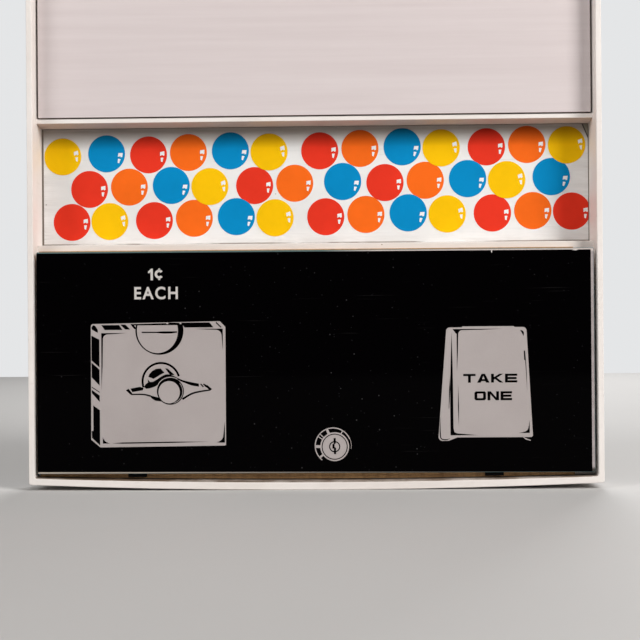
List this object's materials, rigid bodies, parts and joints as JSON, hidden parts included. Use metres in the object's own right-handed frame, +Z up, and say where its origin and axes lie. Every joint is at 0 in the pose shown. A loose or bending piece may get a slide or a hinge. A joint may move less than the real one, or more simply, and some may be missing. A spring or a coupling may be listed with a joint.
{
  "type": "gumball machine wall panel",
  "caption": "Shallow wall-hung frame drawn up as a gumball machine: pale glass above, an open recess with a dotted card, and a black printed glass below.",
  "frame": {"origin": "midway between the two hanging rings' pivots, on the wall plane that the rubber feet touch", "axes": "+Z up the panel, +Y into the wall, -Y out of the front, +X to the right as seen from the front"},
  "size_m": [0.4064, 0.036, 0.5122],
  "materials": {
    "frame_plastic": "satin moulded, aged white",
    "pale_glass": "clear glass with a pale silver-grey coat on its back",
    "dark_glass": "clear glass printed black and silver on its back",
    "card": "coated white card, printed",
    "hardboard": "tempered hardboard",
    "foam": "closed-cell foam tape",
    "zinc_steel": "zinc plated",
    "bumper_rubber": "matt"
  },
  "bodies": {
    "root": {"frame_moulding": "frame_plastic", "upper_glass": "pale_glass", "lower_glass": "dark_glass", "gumball_card": "card", "mounting_board": "hardboard", "back_board": "hardboard", "lower_tape_left": "foam", "lower_tape_right": "foam", "upper_tape_left": "foam", "upper_tape_middle": "foam", "upper_tape_right": "foam", "turn_button_screws": "zinc_steel", "turn_button_washers": "zinc_steel", "hanger_plate_left": "zinc_steel", "hanger_plate_right": "zinc_steel", "hanger_screws": "zinc_steel", "wall_bumper_bottom_left": "bumper_rubber", "wall_bumper_bottom_right": "bumper_rubber", "wall_bumper_top_left": "bumper_rubber", "wall_bumper_top_right": "bumper_rubber"},
    "turn_button_left_1": {"turn_button_left_1": "zinc_steel"},
    "turn_button_right_1": {"turn_button_right_1": "zinc_steel"},
    "turn_button_left_2": {"turn_button_left_2": "zinc_steel"},
    "turn_button_right_2": {"turn_button_right_2": "zinc_steel"},
    "turn_button_left_3": {"turn_button_left_3": "zinc_steel"},
    "turn_button_right_3": {"turn_button_right_3": "zinc_steel"},
    "turn_button_top": {"turn_button_top": "zinc_steel"},
    "turn_button_bottom": {"turn_button_bottom": "zinc_steel"},
    "hanger_ring_left": {"hanger_ring_left": "zinc_steel"},
    "hanger_ring_right": {"hanger_ring_right": "zinc_steel"}
  },
  "joints": [
    {"name": "turn_button_left_1_pivot", "type": "hinge", "parent": "root", "child": "turn_button_left_1", "pos_m": [-0.1946, -0.0042, -0.35], "axis": [0, 1, 0], "range_deg": [-90, 90]},
    {"name": "turn_button_right_1_pivot", "type": "hinge", "parent": "root", "child": "turn_button_right_1", "pos_m": [0.1946, -0.0042, -0.35], "axis": [0, 1, 0], "range_deg": [-90, 90]},
    {"name": "turn_button_left_2_pivot", "type": "hinge", "parent": "root", "child": "turn_button_left_2", "pos_m": [-0.1946, -0.0042, -0.13], "axis": [0, 1, 0], "range_deg": [-90, 90]},
    {"name": "turn_button_right_2_pivot", "type": "hinge", "parent": "root", "child": "turn_button_right_2", "pos_m": [0.1946, -0.0042, -0.13], "axis": [0, 1, 0], "range_deg": [-90, 90]},
    {"name": "turn_button_left_3_pivot", "type": "hinge", "parent": "root", "child": "turn_button_left_3", "pos_m": [-0.1946, -0.0042, 0], "axis": [0, 1, 0], "range_deg": [-90, 90]},
    {"name": "turn_button_right_3_pivot", "type": "hinge", "parent": "root", "child": "turn_button_right_3", "pos_m": [0.1946, -0.0042, 0], "axis": [0, 1, 0], "range_deg": [-90, 90]},
    {"name": "turn_button_top_pivot", "type": "hinge", "parent": "root", "child": "turn_button_top", "pos_m": [0, -0.0042, 0.0694], "axis": [0, 1, 0], "range_deg": [-90, 90]},
    {"name": "turn_button_bottom_pivot", "type": "hinge", "parent": "root", "child": "turn_button_bottom", "pos_m": [0, -0.0042, -0.4214], "axis": [0, 1, 0], "range_deg": [-90, 90]},
    {"name": "hanger_ring_left_swing", "type": "hinge", "parent": "root", "child": "hanger_ring_left", "pos_m": [-0.1524, -0.0027, 0], "axis": [1, 0, 0], "range_deg": [0, 180]},
    {"name": "hanger_ring_right_swing", "type": "hinge", "parent": "root", "child": "hanger_ring_right", "pos_m": [0.1524, -0.0027, 0], "axis": [1, 0, 0], "range_deg": [0, 180]}
  ]
}
